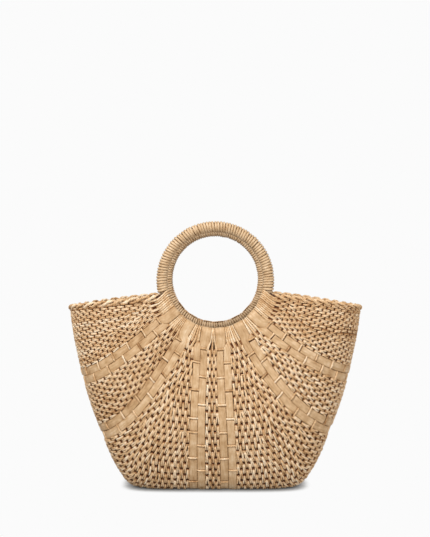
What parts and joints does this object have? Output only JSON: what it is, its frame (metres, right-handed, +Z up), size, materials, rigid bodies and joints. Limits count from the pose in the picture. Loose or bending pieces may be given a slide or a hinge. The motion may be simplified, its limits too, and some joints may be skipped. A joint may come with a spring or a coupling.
{
  "type": "straw basket bag",
  "caption": "Straw tote woven in a fan of twisted cords and flat ribbons, open at the top, hung on two round cord-wrapped handle rings.",
  "frame": {"origin": "centre of the base, on the surface that the bag stands on", "axes": "+X across the bag to the right seen from the front, +Y to the back, +Z up; the front panel faces -Y"},
  "size_m": [0.401, 0.1544, 0.3538],
  "materials": {
    "woven_cord": "matt twisted straw cord",
    "flat_ribbon": "satin flat straw ribbon",
    "ring_wrap": "satin straw cord wound tightly",
    "rim_cord": "matt twisted straw cord"
  },
  "bodies": {
    "root": {"basket_body": "woven_cord", "ribbon_1a": "flat_ribbon", "ribbon_1b": "flat_ribbon", "ribbon_2a": "flat_ribbon", "ribbon_2b": "flat_ribbon", "ribbon_3a": "flat_ribbon", "ribbon_3b": "flat_ribbon", "ribbon_4a": "flat_ribbon", "ribbon_4b": "flat_ribbon", "ribbon_5a": "flat_ribbon", "ribbon_5b": "flat_ribbon", "ribbon_6a": "flat_ribbon", "ribbon_6b": "flat_ribbon", "handle_ring_front": "ring_wrap", "handle_ring_back": "ring_wrap", "rim_braid_left": "rim_cord", "rim_braid_right": "rim_cord"}
  },
  "joints": []
}
